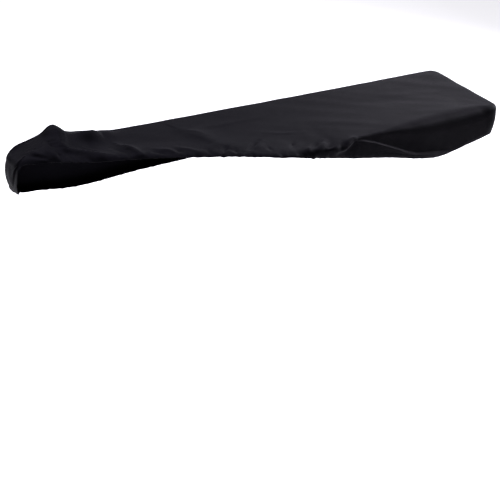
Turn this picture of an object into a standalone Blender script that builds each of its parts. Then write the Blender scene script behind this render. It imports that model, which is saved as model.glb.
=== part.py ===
"""A fitted piano cover in thin cloth, pulled back at its left.

The origin is the centre of the underside of the top panel, which rests on the thing that is covered.
X runs along the cover to its fitted right end, Y from its front to its back, Z up. Lengths are in metres.
"""
from collections import namedtuple
import math

import bmesh
import bpy
from mathutils import Vector

# Driving dimensions: the fitted form that the cloth was sewn for
LENGTH = 1.312
FRONT_Y = -0.142
BACK_Y = 0.140
TOP_Z = 0.002
EDGE_LIFT = 0.006
FRONT_CORNER_Z = -0.087
BACK_CORNER_Z = -0.096
SHEET = 0.002

# The sewn form's softness
CORNER_RADIUS = 0.024
FOLD_ROUND = 0.012
LOW_ROUND = 0.014
TUCK = 0.024
TUCK_FALL = 0.006
LOW_FLARE = 0.004
WALL_BULGE = 0.002
END_BULGE = 0.005
CORNER_SHARE = 0.45
FOLD_END = 0.12
WELD = 0.0002

# Where the long sides end and the two end fans begin
SIDE_LEFT_X = -0.540
SIDE_RIGHT_X = 0.600
PULL_START_X = 0.200
SPINE_PULL = 0.080
SPINE_RIGHT = Vector((SIDE_RIGHT_X - SPINE_PULL, 0.0, TOP_Z))
SPINE_LEFT = Vector((-0.572, 0.094, 0.028))

# The number of columns round the cover and of rows from the hem to the top's middle
SIDE_COLUMNS = 72
RIGHT_COLUMNS = 14
LEFT_COLUMNS = 18
TUCK_ROWS = 1
LOW_ROWS = 2
WALL_ROWS = 3
FOLD_ROWS = 3
TOP_ROWS = 6
LEFT_CROWDING = 1.2

Section = namedtuple("Section", "x fold_y fold_z low_y low_z hem_y hem_z")
Turn = namedtuple("Turn", "fold low hem bulge")
Middle = namedtuple("Middle", "x y z")
Fold = namedtuple("Fold", "name route left right height")
Column = namedtuple("Column", "round_place fold low hem bulge")

# The front, left to right: the fold from the top into the front, the lowest turn of the cloth, the hem.
# Up to x = -0.08 the skirt is pulled back, and its hem lies level, on a slant.
FRONT = (
    Section(-0.540, 0.048, 0.014, 0.032, 0.008, 0.021, 0.003),
    Section(-0.510, 0.036, 0.010, 0.020, 0.007, 0.009, 0.002),
    Section(-0.480, 0.024, 0.010, 0.008, 0.008, -0.003, 0.002),
    Section(-0.420, 0.006, 0.010, -0.009, 0.008, -0.018, 0.002),
    Section(-0.364, -0.014, 0.009, -0.026, 0.007, -0.034, 0.002),
    Section(-0.304, -0.036, 0.009, -0.049, 0.007, -0.057, 0.002),
    Section(-0.253, -0.056, 0.009, -0.069, 0.007, -0.077, 0.002),
    Section(-0.199, -0.078, 0.008, -0.091, 0.007, -0.099, 0.002),
    Section(-0.147, -0.102, 0.008, -0.115, 0.007, -0.123, 0.002),
    Section(-0.105, -0.121, 0.007, -0.134, 0.006, -0.141, 0.001),
    Section(-0.080, -0.131, 0.006, -0.146, 0.003, -0.150, -0.002),
    Section(-0.050, -0.137, 0.004, -0.150, 0.000, -0.151, -0.007),
    Section(-0.020, -0.141, 0.001, -0.152, -0.008, -0.151, -0.015),
    Section(0.012, -0.148, -0.001, -0.154, -0.014, -0.150, -0.023),
    Section(0.045, -0.154, -0.001, -0.155, -0.021, -0.150, -0.030),
    Section(0.072, -0.160, -0.002, -0.154, -0.026, -0.151, -0.035),
    Section(0.095, -0.150, 0.000, -0.152, -0.034, -0.149, -0.041),
    Section(0.116, -0.144, 0.001, -0.150, -0.039, -0.148, -0.046),
    Section(0.140, -0.142, 0.002, -0.149, -0.044, -0.147, -0.052),
    Section(0.261, -0.142, 0.002, -0.149, -0.068, -0.147, -0.076),
    Section(0.307, -0.142, 0.002, -0.150, -0.079, -0.147, -0.087),
    Section(0.356, -0.142, 0.002, -0.150, -0.091, -0.147, -0.099),
    Section(0.415, -0.142, 0.002, -0.150, -0.103, -0.146, -0.111),
    Section(0.459, -0.142, 0.002, -0.149, -0.107, -0.144, -0.115),
    Section(0.500, -0.142, 0.002, -0.148, -0.106, -0.139, -0.114),
    Section(0.546, -0.142, 0.002, -0.148, -0.098, -0.134, -0.105),
    Section(0.600, -0.142, 0.002, -0.147, -0.091, -0.127, -0.098),
)

# The back, left to right. The slack back edge climbs to the left, to the peak of the bunched corner.
BACK = (
    Section(-0.540, 0.132, 0.051, 0.146, -0.112, 0.122, -0.120),
    Section(-0.512, 0.137, 0.027, 0.147, -0.115, 0.122, -0.123),
    Section(-0.470, 0.139, 0.018, 0.147, -0.116, 0.122, -0.124),
    Section(-0.410, 0.140, 0.007, 0.146, -0.112, 0.121, -0.120),
    Section(-0.340, 0.140, 0.005, 0.146, -0.108, 0.121, -0.115),
    Section(-0.100, 0.140, 0.005, 0.145, -0.103, 0.121, -0.110),
    Section(0.250, 0.140, 0.006, 0.144, -0.099, 0.120, -0.105),
    Section(0.600, 0.140, 0.008, 0.144, -0.096, 0.120, -0.102),
)

# The left end, from the back round to the pulled-back hem. The skirt still hooks over the back corner.
LEFT = (
    Turn((-0.570, 0.136, 0.032), (-0.570, 0.145, -0.108), (-0.568, 0.121, -0.115), 0.002),
    Turn((-0.602, 0.137, 0.020), (-0.603, 0.145, -0.104), (-0.598, 0.120, -0.111), 0.003),
    Turn((-0.634, 0.138, 0.008), (-0.638, 0.142, -0.100), (-0.624, 0.117, -0.107), 0.004),
    Turn((-0.652, 0.128, -0.003), (-0.656, 0.129, -0.096), (-0.637, 0.111, -0.101), END_BULGE),
    Turn((-0.657, 0.107, -0.002), (-0.659, 0.108, -0.090), (-0.639, 0.101, -0.096), END_BULGE),
    Turn((-0.656, 0.084, 0.000), (-0.658, 0.086, -0.081), (-0.644, 0.085, -0.089), END_BULGE),
    Turn((-0.655, 0.066, 0.003), (-0.658, 0.070, -0.067), (-0.653, 0.062, -0.074), 0.004),
    Turn((-0.652, 0.055, 0.007), (-0.658, 0.057, -0.038), (-0.655, 0.047, -0.041), 0.003),
    Turn((-0.646, 0.052, 0.012), (-0.653, 0.046, -0.008), (-0.653, 0.037, -0.011), 0.001),
    Turn((-0.630, 0.060, 0.016), (-0.638, 0.051, 0.010), (-0.640, 0.043, 0.004), 0.0),
    Turn((-0.604, 0.061, 0.020), (-0.606, 0.048, 0.012), (-0.606, 0.039, 0.004), 0.0),
    Turn((-0.572, 0.060, 0.023), (-0.572, 0.042, 0.014), (-0.572, 0.032, 0.004), 0.0),
)

# The middle line of the top, where front and back meet
MIDDLE = (
    Middle(-0.540, 0.088, 0.033),
    Middle(-0.512, 0.078, 0.019),
    Middle(-0.470, 0.066, 0.007),
    Middle(-0.400, 0.056, 0.004),
    Middle(-0.250, 0.030, 0.004),
    Middle(-0.080, 0.004, 0.003),
    Middle(0.120, 0.000, TOP_Z),
    Middle(0.600, 0.000, TOP_Z),
)

# The main folds: ridges, or troughs where the height is below zero, with a width on either hand of the route
FOLDS = (
    Fold("drag ridge of the front",
         ((0.151, -0.143, -0.002), (0.261, -0.146, -0.041), (0.357, -0.149, -0.081), (0.450, -0.150, -0.097)),
         0.007, 0.010, 0.008),
    Fold("hollow over the drag ridge", ((0.205, -0.145, 0.000), (0.400, -0.148, -0.070)), 0.020, 0.020, -0.004),
    Fold("first ruffle",
         ((0.146, -0.142, 0.000), (0.132, -0.144, -0.005), (0.111, -0.148, -0.016), (0.080, -0.155, -0.020)),
         0.008, 0.007, 0.008),
    Fold("trough beside the first ruffle",
         ((0.124, -0.138, 0.002), (0.108, -0.142, -0.001), (0.083, -0.153, -0.005)), 0.007, 0.007, -0.003),
    Fold("second ruffle", ((0.070, -0.119, 0.000), (0.048, -0.136, 0.000), (0.026, -0.150, 0.000)),
         0.008, 0.008, 0.004),
    Fold("third ruffle", ((0.018, -0.130, 0.002), (-0.010, -0.148, -0.003)), 0.008, 0.008, 0.003),
    Fold("ridge down from the peak", ((-0.538, 0.124, 0.044), (-0.558, 0.058, 0.026)), 0.018, 0.018, 0.003),
    Fold("slack ridge right of the peak",
         ((-0.514, 0.108, 0.038), (-0.490, 0.103, 0.034), (-0.460, 0.104, 0.026), (-0.419, 0.112, 0.016)),
         0.014, 0.026, 0.025),
    Fold("long slack crease",
         ((-0.540, 0.067, 0.028), (-0.513, 0.050, 0.020), (-0.474, 0.019, 0.014), (-0.440, -0.002, 0.009)),
         0.010, 0.016, 0.009),
    Fold("second slack crease", ((-0.411, 0.049, 0.005), (-0.382, -0.020, 0.009)), 0.014, 0.008, 0.007),
    Fold("soft step of the middle", ((-0.240, 0.066, 0.004), (-0.192, -0.040, 0.006)), 0.040, 0.018, 0.006),
    Fold("crease of the end", ((-0.622, 0.082, 0.012), (-0.578, 0.040, 0.009)), 0.008, 0.006, 0.003),
)


def round_corner_points(centre_x, centre_y, start_degrees, count):
    """Points on one upright corner of the fitted form, seen from above."""
    points = []
    for step in range(count):
        angle = math.radians(start_degrees + 90.0 * step / (count - 1))
        x = centre_x + CORNER_RADIUS * math.cos(angle)
        y = centre_y + CORNER_RADIUS * math.sin(angle)
        points.append((x, y, math.cos(angle), math.sin(angle)))
    return points


def right_end_columns():
    """The fitted right end: a rounded box whose hem the elastic draws in underneath."""
    outline = round_corner_points(LENGTH / 2 - CORNER_RADIUS, FRONT_Y + CORNER_RADIUS, -90.0, 4)
    for step in (1, 2, 3):
        y = FRONT_Y + CORNER_RADIUS + (BACK_Y - FRONT_Y - 2 * CORNER_RADIUS) * step / 4
        outline.append((LENGTH / 2, y, 1.0, 0.0))
    outline += round_corner_points(LENGTH / 2 - CORNER_RADIUS, BACK_Y - CORNER_RADIUS, 0.0, 4)
    turns = []
    for x, y, out_x, out_y in outline:
        across = (y - FRONT_Y) / (BACK_Y - FRONT_Y)
        low_z = FRONT_CORNER_Z + (BACK_CORNER_Z - FRONT_CORNER_Z) * across
        fold = (x, y, TOP_Z + EDGE_LIFT * across)
        low = (x + LOW_FLARE * out_x, y + LOW_FLARE * out_y, low_z)
        hem = (x - TUCK * out_x, y - TUCK * out_y, low_z - TUCK_FALL)
        turns.append(Turn(fold, low, hem, WALL_BULGE))
    return turns


def side_turns(table):
    """The key columns of a long side, from its table of sections."""
    turns = []
    for row in table:
        fold = (row.x, row.fold_y, row.fold_z)
        low = (row.x, row.low_y, row.low_z)
        hem = (row.x, row.hem_y, row.hem_z)
        turns.append(Turn(fold, low, hem, 0.0))
    return turns


def key_columns():
    """All key columns in order round the cover, each with its distance round, and the loop's length."""
    columns = []
    distance = 0.0
    last = None
    for turn in side_turns(FRONT) + right_end_columns() + side_turns(reversed(BACK)) + list(LEFT):
        fold, low, hem = Vector(turn.fold), Vector(turn.low), Vector(turn.hem)
        here = Vector((fold.x, fold.y))
        if last is not None:
            on_side = SIDE_LEFT_X <= min(here.x, last.x) and max(here.x, last.x) <= SIDE_RIGHT_X
            distance += abs(here.x - last.x) if on_side else (here - last).length
        columns.append(Column(distance, fold, low, hem, turn.bulge))
        last = here
    closing = (Vector(LEFT[-1].fold[:2]) - Vector((FRONT[0].x, FRONT[0].fold_y))).length
    return columns, distance + closing


def hermite(before, after, slope_before, slope_after, span, part):
    """A smooth curve between two values with the given slopes."""
    square, cube = part * part, part * part * part
    value = before * (2 * cube - 3 * square + 1) + after * (3 * square - 2 * cube)
    return value + (slope_before * (cube - 2 * square + part) + slope_after * (cube - square)) * span


def read_middle(x):
    """The top's middle line at x, drawn back from the right end so that the end's columns fan out."""
    index = 0
    while index < len(MIDDLE) - 2 and x > MIDDLE[index + 1].x:
        index += 1
    before, after = MIDDLE[index], MIDDLE[index + 1]
    part = min(max((x - before.x) / (after.x - before.x), 0.0), 1.0)
    ease = part * part * (3 - 2 * part)
    pulled = min(max((x - PULL_START_X) / (SIDE_RIGHT_X - PULL_START_X), 0.0), 1.0)
    middle_y = before.y + (after.y - before.y) * part
    middle_z = before.z + (after.z - before.z) * ease
    return Vector((x - SPINE_PULL * pulled * pulled, middle_y, middle_z))


def column_at(columns, loop, place):
    """The fold, the low turn and the hem at a distance round the cover."""
    count = len(columns)
    index = count - 1
    while columns[index].round_place > place:
        index -= 1

    def key(offset):
        wrapped = columns[(index + offset) % count]
        turns = (index + offset) // count
        return wrapped, wrapped.round_place + turns * loop

    (first, at_first), (second, at_second) = key(0), key(1)
    (older, at_older), (newer, at_newer) = key(-1), key(2)
    span = at_second - at_first
    part = (place - at_first) / span
    found = []
    for name in ("fold", "low", "hem", "bulge"):
        p, q, r, s = (getattr(item, name) for item in (older, first, second, newer))
        slope_first = (r - p) / (at_second - at_older)
        slope_second = (s - q) / (at_newer - at_first)
        found.append(hermite(q, r, slope_first, slope_second, span, part))
    return found


def rounded_corner(before, corner, after, reach, count):
    """Points on a soft corner, cut back by at most the reach along both of its sides."""
    into = before - corner
    out = after - corner
    start = corner + into.normalized() * min(reach, CORNER_SHARE * into.length)
    end = corner + out.normalized() * min(reach, CORNER_SHARE * out.length)
    points = []
    for step in range(count + 1):
        part = step / count
        points.append(start * (1 - part) ** 2 + corner * (2 * part * (1 - part)) + end * part ** 2)
    return points


def column_points(fold, low, hem, bulge, middle):
    """One column of the cloth, from its hem up to the middle of the top."""
    low_corner = rounded_corner(hem, low, fold, LOW_ROUND, LOW_ROWS)
    fold_corner = rounded_corner(low, fold, middle, FOLD_ROUND, FOLD_ROWS)
    out = Vector((fold.x - middle.x, fold.y - middle.y, 0.0)).normalized()
    points = [hem.lerp(low_corner[0], step / TUCK_ROWS) for step in range(TUCK_ROWS)]
    points += low_corner
    for step in range(1, WALL_ROWS):
        part = step / WALL_ROWS
        points.append(low_corner[-1].lerp(fold_corner[0], part) + out * (4 * bulge * part * (1 - part)))
    points += fold_corner
    for step in range(1, TOP_ROWS + 1):
        part = step / TOP_ROWS
        point = fold_corner[-1].lerp(middle, part)
        ease = part * part * (3 - 2 * part)
        point.z = fold_corner[-1].z + (middle.z - fold_corner[-1].z) * ease
        points.append(point)
    return points


def side_places():
    """The x of each column of a long side, closer together at the bunched left."""
    span = SIDE_RIGHT_X - SIDE_LEFT_X
    return [SIDE_LEFT_X + span * (step / SIDE_COLUMNS) ** LEFT_CROWDING for step in range(SIDE_COLUMNS + 1)]


def base_grid():
    """Every column of the cloth round the cover, before its folds."""
    columns, loop = key_columns()
    front_count = len(FRONT)
    right_end = front_count + len(right_end_columns())
    right_start = columns[front_count - 1].round_place
    back_start = columns[right_end].round_place
    left_start = columns[right_end + len(BACK) - 1].round_place
    grid = []
    for x in side_places():
        found = column_at(columns, loop, x - SIDE_LEFT_X)
        grid.append(column_points(*found, read_middle(x)))
    for step in range(1, RIGHT_COLUMNS):
        place = right_start + (back_start - right_start) * step / RIGHT_COLUMNS
        grid.append(column_points(*column_at(columns, loop, place), SPINE_RIGHT))
    for x in reversed(side_places()):
        found = column_at(columns, loop, back_start + SIDE_RIGHT_X - x)
        grid.append(column_points(*found, read_middle(x)))
    for step in range(1, LEFT_COLUMNS):
        place = left_start + (loop - left_start) * step / LEFT_COLUMNS
        grid.append(column_points(*column_at(columns, loop, place), SPINE_LEFT))
    return grid


def fold_offset(point, normal, fold):
    """How far one fold lifts the cloth at a point, along its normal."""
    route = [Vector(place) for place in fold.route]
    whole = sum((after - before).length for before, after in zip(route, route[1:]))
    nearest, along, side, walked = math.inf, 0.0, 0.0, 0.0
    for before, after in zip(route, route[1:]):
        step = after - before
        part = min(max((point - before).dot(step) / step.length_squared, 0.0), 1.0)
        away = point - before - step * part
        if away.length < nearest:
            nearest = away.length
            along = (walked + part * step.length) / whole
            side = away.dot(step.cross(normal))
        walked += step.length
    width = fold.right if side > 0.0 else fold.left
    taper = math.sin(math.pi * min(max(along, FOLD_END), 1.0 - FOLD_END))
    return fold.height * taper * math.exp(-(nearest / width) ** 2)


def sheet_mesh(name):
    """The cloth as one open surface with its folds."""
    work = bmesh.new()
    grid = base_grid()
    sheet = []
    for column in grid:
        sheet.append([work.verts.new(point) for point in column])
    count = len(sheet)
    for index in range(count):
        this, following = sheet[index], sheet[(index + 1) % count]
        for row in range(len(this) - 1):
            work.faces.new((this[row], following[row], following[row + 1], this[row + 1]))
    bmesh.ops.remove_doubles(work, verts=work.verts, dist=WELD)
    work.normal_update()
    moves = []
    for vertex in work.verts:
        lift = sum(fold_offset(vertex.co, vertex.normal, fold) for fold in FOLDS)
        moves.append((vertex, vertex.normal * lift))
    for vertex, move in moves:
        vertex.co += move
    mesh = bpy.data.meshes.new(name)
    work.to_mesh(mesh)
    work.free()
    return mesh


def cloth_material():
    """Black woven polyester with a slight satin sheen."""
    material = bpy.data.materials.new("black_polyester")
    material.use_nodes = True
    shader = material.node_tree.nodes["Principled BSDF"]
    shader.inputs["Base Color"].default_value = (0.012, 0.012, 0.014, 1.0)
    shader.inputs["Roughness"].default_value = 0.62
    shader.inputs["Metallic"].default_value = 0.0
    return material


def build_cover(collection):
    """The one-piece cover with its cloth's thickness."""
    cover = bpy.data.objects.new("cover_cloth", sheet_mesh("cover_cloth"))
    collection.objects.link(cover)
    cover.data.materials.append(cloth_material())
    cover.data.shade_smooth()
    thickness = cover.modifiers.new("cloth thickness", "SOLIDIFY")
    thickness.thickness = SHEET
    thickness.offset = -1.0
    thickness.use_even_offset = True


def main():
    """Clears the scene and builds the cover."""
    for item in list(bpy.data.objects):
        bpy.data.objects.remove(item)
    collection = bpy.data.collections.new("piano_cover")
    bpy.context.scene.collection.children.link(collection)
    build_cover(collection)


main()
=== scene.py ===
# %% [markdown]
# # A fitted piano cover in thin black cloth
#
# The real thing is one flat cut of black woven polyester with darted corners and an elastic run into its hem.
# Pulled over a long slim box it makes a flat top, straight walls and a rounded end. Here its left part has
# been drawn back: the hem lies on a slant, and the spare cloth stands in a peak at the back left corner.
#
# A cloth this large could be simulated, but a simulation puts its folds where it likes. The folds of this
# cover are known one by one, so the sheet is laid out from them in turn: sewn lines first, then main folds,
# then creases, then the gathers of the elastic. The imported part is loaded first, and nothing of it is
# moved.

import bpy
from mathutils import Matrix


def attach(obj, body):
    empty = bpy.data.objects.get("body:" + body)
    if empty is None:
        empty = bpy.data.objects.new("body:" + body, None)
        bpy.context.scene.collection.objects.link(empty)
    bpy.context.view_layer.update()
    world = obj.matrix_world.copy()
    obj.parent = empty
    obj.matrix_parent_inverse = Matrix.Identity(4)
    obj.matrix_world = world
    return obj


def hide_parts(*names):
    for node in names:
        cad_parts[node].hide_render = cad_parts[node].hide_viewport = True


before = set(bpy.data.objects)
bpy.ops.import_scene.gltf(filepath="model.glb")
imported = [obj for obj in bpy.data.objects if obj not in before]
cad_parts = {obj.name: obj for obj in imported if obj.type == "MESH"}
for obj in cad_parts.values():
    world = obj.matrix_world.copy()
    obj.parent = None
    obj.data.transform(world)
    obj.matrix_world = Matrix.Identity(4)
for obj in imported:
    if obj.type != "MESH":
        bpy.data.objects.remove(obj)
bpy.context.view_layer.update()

# %% [markdown]
# ## The tools of the lesson
#
# The mesh is worked out with plain Python, `bmesh` and `numpy`: `bmesh` builds and welds the sheet, and
# `numpy` moves its forty thousand points past every fold in a moment. `noise` gives unevenness that is the
# same on every run.

# %% Import what the lesson needs
from collections import namedtuple
import math

import bmesh
import bpy
import numpy as np
from mathutils import Matrix, Vector, noise

PIECE = "cover_fabric"
print("Blender", bpy.app.version_string)

# %% [markdown]
# ## The camera
#
# The camera stands in front and to the left of the cover, well above it, and leans over slightly. Its place
# was found from straight edges of known length, so it is given as a place, three angles and a lens. A turn
# about the upright gives the heading, a tilt looks down, and a last turn about the lens leans it.

# %% Place the camera
CAMERA_PLACE = Vector((-0.9906, -1.4479, 0.8278))
CAMERA_HEADING = 32.914
CAMERA_DOWN = 34.786
CAMERA_LEAN = 4.331
CAMERA_LENS = 54.0
SENSOR_WIDTH = 36.0


def place_camera():
    """A camera at the photograph's viewing angle."""
    data = bpy.data.cameras.new("camera")
    data.lens = CAMERA_LENS
    data.sensor_width = SENSOR_WIDTH
    camera = bpy.data.objects.new("camera", data)
    bpy.context.scene.collection.objects.link(camera)
    heading = Matrix.Rotation(-math.radians(CAMERA_HEADING), 4, "Z")
    tilt = Matrix.Rotation(math.radians(90.0 - CAMERA_DOWN), 4, "X")
    lean = Matrix.Rotation(math.radians(CAMERA_LEAN), 4, "Z")
    camera.matrix_world = Matrix.Translation(CAMERA_PLACE) @ heading @ tilt @ lean
    bpy.context.scene.camera = camera
    return camera


camera = place_camera()
print("camera", [round(value, 3) for value in camera.location], "lens", camera.data.lens)

# %% [markdown]
# ## The sewn form
#
# A fitted cover is described by three lines that run right round it: the fold where the top turns down into
# the skirt, the low turn where the skirt turns in, and the hem. A row of the table gives these three at one
# place along a long side. The left end is round and bunched, so its rows give whole points. Between the rows
# the lines are smooth curves, so a few rows are enough. Lengths are in metres.

# %% Sizes of the sewn form
LENGTH = 1.312
FRONT_Y = -0.142
BACK_Y = 0.140
TOP_Z = 0.002
EDGE_LIFT = 0.006
FRONT_CORNER_Z = -0.087
BACK_CORNER_Z = -0.096
CORNER_RADIUS = 0.024
WELD = 0.0002
TUCK = 0.024
TUCK_FALL = 0.006
LOW_FLARE = 0.004
WALL_BULGE = 0.002
END_BULGE = 0.005
CORNER_SHARE = 0.45
SIDE_LEFT_X = -0.540
SIDE_RIGHT_X = 0.600
PULL_START_X = 0.200
SPINE_PULL = 0.080
SPINE_RIGHT = Vector((SIDE_RIGHT_X - SPINE_PULL, 0.0, TOP_Z))
SPINE_LEFT = Vector((-0.572, 0.094, 0.028))
print("sewn form", LENGTH, "by", round(BACK_Y - FRONT_Y, 3))

# %% Lines of the front and the back
Section = namedtuple("Section", "x fold_y fold_z low_y low_z hem_y hem_z")

# Left to right. Up to x = -0.08 the skirt is drawn back and its hem lies level, on a slant.
FRONT = (
    Section(-0.540, 0.048, 0.014, 0.032, 0.008, 0.021, 0.003),
    Section(-0.510, 0.036, 0.010, 0.020, 0.007, 0.009, 0.002),
    Section(-0.480, 0.024, 0.010, 0.008, 0.008, -0.003, 0.002),
    Section(-0.420, 0.006, 0.010, -0.009, 0.008, -0.018, 0.002),
    Section(-0.364, -0.014, 0.009, -0.026, 0.007, -0.034, 0.002),
    Section(-0.304, -0.036, 0.009, -0.049, 0.007, -0.057, 0.002),
    Section(-0.253, -0.056, 0.009, -0.069, 0.007, -0.077, 0.002),
    Section(-0.199, -0.078, 0.008, -0.091, 0.007, -0.099, 0.002),
    Section(-0.147, -0.102, 0.008, -0.115, 0.007, -0.123, 0.002),
    Section(-0.105, -0.121, 0.007, -0.134, 0.006, -0.141, 0.001),
    Section(-0.080, -0.131, 0.006, -0.146, 0.003, -0.150, -0.002),
    Section(-0.050, -0.137, 0.004, -0.150, 0.000, -0.151, -0.007),
    Section(-0.020, -0.141, 0.001, -0.152, -0.008, -0.151, -0.015),
    Section(0.012, -0.148, -0.001, -0.154, -0.014, -0.150, -0.023),
    Section(0.045, -0.154, -0.001, -0.155, -0.021, -0.150, -0.030),
    Section(0.072, -0.160, -0.002, -0.154, -0.026, -0.151, -0.035),
    Section(0.095, -0.150, 0.000, -0.152, -0.034, -0.149, -0.041),
    Section(0.116, -0.144, 0.001, -0.150, -0.039, -0.148, -0.046),
    Section(0.140, -0.142, 0.002, -0.149, -0.044, -0.147, -0.052),
    Section(0.261, -0.142, 0.002, -0.149, -0.068, -0.147, -0.076),
    Section(0.307, -0.142, 0.002, -0.150, -0.079, -0.147, -0.087),
    Section(0.356, -0.142, 0.002, -0.150, -0.091, -0.147, -0.099),
    Section(0.415, -0.142, 0.002, -0.150, -0.103, -0.146, -0.111),
    Section(0.459, -0.142, 0.002, -0.149, -0.107, -0.144, -0.115),
    Section(0.500, -0.142, 0.002, -0.148, -0.106, -0.139, -0.114),
    Section(0.546, -0.142, 0.002, -0.148, -0.098, -0.134, -0.105),
    Section(0.600, -0.142, 0.002, -0.147, -0.091, -0.127, -0.098),
)

# The back edge is slack on the left and climbs there to the peak.
BACK = (
    Section(-0.540, 0.132, 0.051, 0.146, -0.112, 0.122, -0.120),
    Section(-0.512, 0.137, 0.027, 0.147, -0.115, 0.122, -0.123),
    Section(-0.470, 0.139, 0.018, 0.147, -0.116, 0.122, -0.124),
    Section(-0.410, 0.140, 0.007, 0.146, -0.112, 0.121, -0.120),
    Section(-0.340, 0.140, 0.005, 0.146, -0.108, 0.121, -0.115),
    Section(-0.100, 0.140, 0.005, 0.145, -0.103, 0.121, -0.110),
    Section(0.250, 0.140, 0.006, 0.144, -0.099, 0.120, -0.105),
    Section(0.600, 0.140, 0.008, 0.144, -0.096, 0.120, -0.102),
)
print(len(FRONT), "sections in front,", len(BACK), "behind")

# %% Lines of the left end and the middle of the top
Turn = namedtuple("Turn", "fold low hem bulge")
Middle = namedtuple("Middle", "x y z")

# From the back round to the drawn-back hem. The skirt still hooks over the back corner.
LEFT = (
    Turn((-0.570, 0.136, 0.032), (-0.570, 0.145, -0.108), (-0.568, 0.121, -0.115), 0.002),
    Turn((-0.602, 0.137, 0.020), (-0.603, 0.145, -0.104), (-0.598, 0.120, -0.111), 0.003),
    Turn((-0.634, 0.138, 0.008), (-0.638, 0.142, -0.100), (-0.624, 0.117, -0.107), 0.004),
    Turn((-0.652, 0.128, -0.003), (-0.656, 0.129, -0.096), (-0.637, 0.111, -0.101), END_BULGE),
    Turn((-0.657, 0.107, -0.002), (-0.659, 0.108, -0.090), (-0.639, 0.101, -0.096), END_BULGE),
    Turn((-0.656, 0.084, 0.000), (-0.658, 0.086, -0.081), (-0.644, 0.085, -0.089), END_BULGE),
    Turn((-0.655, 0.066, 0.003), (-0.658, 0.070, -0.067), (-0.653, 0.062, -0.074), 0.004),
    Turn((-0.652, 0.055, 0.007), (-0.658, 0.057, -0.038), (-0.655, 0.047, -0.041), 0.003),
    Turn((-0.646, 0.052, 0.012), (-0.653, 0.046, -0.008), (-0.653, 0.037, -0.011), 0.001),
    Turn((-0.630, 0.060, 0.016), (-0.638, 0.051, 0.010), (-0.640, 0.043, 0.004), 0.0),
    Turn((-0.604, 0.061, 0.020), (-0.606, 0.048, 0.012), (-0.606, 0.039, 0.004), 0.0),
    Turn((-0.572, 0.060, 0.023), (-0.572, 0.042, 0.014), (-0.572, 0.032, 0.004), 0.0),
)

# Where the front half of the top meets the back half
MIDDLE = (
    Middle(-0.540, 0.088, 0.033),
    Middle(-0.512, 0.078, 0.019),
    Middle(-0.470, 0.066, 0.007),
    Middle(-0.400, 0.056, 0.004),
    Middle(-0.250, 0.030, 0.004),
    Middle(-0.080, 0.004, 0.003),
    Middle(0.120, 0.000, TOP_Z),
    Middle(0.600, 0.000, TOP_Z),
)
print(len(LEFT), "turns round the left end")

# %% [markdown]
# ## Reading the lines at any place
#
# The cover is read as upright columns that follow each other round it, front, right end, back, left end. A
# column needs its fold, low turn and hem. They come from a cubic curve through the nearest four rows, whose
# slope at a row is taken from its two neighbours. The right end is a rounded box, so it has no table at all:
# its points come from two quarter circles and a straight line.

# %% Key columns round the cover
Column = namedtuple("Column", "round_place fold low hem bulge")
CORNER_POINTS = 4
END_STEPS = 4


def corner_points(centre_y, start_degrees):
    """One upright corner of the right end, seen from above, with its outward direction."""
    points = []
    for step in range(CORNER_POINTS):
        angle = math.radians(start_degrees + 90.0 * step / (CORNER_POINTS - 1))
        out = Vector((math.cos(angle), math.sin(angle), 0.0))
        points.append((Vector((LENGTH / 2 - CORNER_RADIUS, centre_y, 0.0)) + out * CORNER_RADIUS, out))
    return points


def right_turns():
    """The fitted right end, whose hem the elastic draws in underneath."""
    outline = corner_points(FRONT_Y + CORNER_RADIUS, -90.0)
    straight = BACK_Y - FRONT_Y - 2 * CORNER_RADIUS
    for step in range(1, END_STEPS):
        y = FRONT_Y + CORNER_RADIUS + straight * step / END_STEPS
        outline.append((Vector((LENGTH / 2, y, 0.0)), Vector((1.0, 0.0, 0.0))))
    outline += corner_points(BACK_Y - CORNER_RADIUS, 0.0)
    turns = []
    for place, out in outline:
        across = (place.y - FRONT_Y) / (BACK_Y - FRONT_Y)
        low_z = FRONT_CORNER_Z + (BACK_CORNER_Z - FRONT_CORNER_Z) * across
        fold = place + Vector((0.0, 0.0, TOP_Z + EDGE_LIFT * across))
        low = place + out * LOW_FLARE + Vector((0.0, 0.0, low_z))
        hem = place - out * TUCK + Vector((0.0, 0.0, low_z - TUCK_FALL))
        turns.append(Turn(fold, low, hem, WALL_BULGE))
    return turns


def side_turns(table):
    """The key columns of a long side."""
    turns = []
    for row in table:
        fold = (row.x, row.fold_y, row.fold_z)
        low = (row.x, row.low_y, row.low_z)
        hem = (row.x, row.hem_y, row.hem_z)
        turns.append(Turn(fold, low, hem, 0.0))
    return turns


def key_columns():
    """Every key column with its distance round the cover, and the length of the whole loop."""
    columns = []
    distance = 0.0
    last = None
    for turn in side_turns(FRONT) + right_turns() + side_turns(reversed(BACK)) + list(LEFT):
        fold, low, hem = Vector(turn.fold), Vector(turn.low), Vector(turn.hem)
        here = Vector((fold.x, fold.y))
        if last is not None:
            on_side = SIDE_LEFT_X <= min(here.x, last.x) and max(here.x, last.x) <= SIDE_RIGHT_X
            distance += abs(here.x - last.x) if on_side else (here - last).length
        columns.append(Column(distance, fold, low, hem, turn.bulge))
        last = here
    closing = (Vector(LEFT[-1].fold[:2]) - Vector((FRONT[0].x, FRONT[0].fold_y))).length
    return columns, distance + closing


KEYS, LOOP = key_columns()
RIGHT_START = KEYS[len(FRONT) - 1].round_place
BACK_START = KEYS[len(FRONT) + len(right_turns())].round_place
LEFT_START = KEYS[len(FRONT) + len(right_turns()) + len(BACK) - 1].round_place
print("loop", round(LOOP, 3), "m, right end at", round(RIGHT_START, 3), "back at", round(BACK_START, 3))

# %% A smooth column at any distance round


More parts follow.
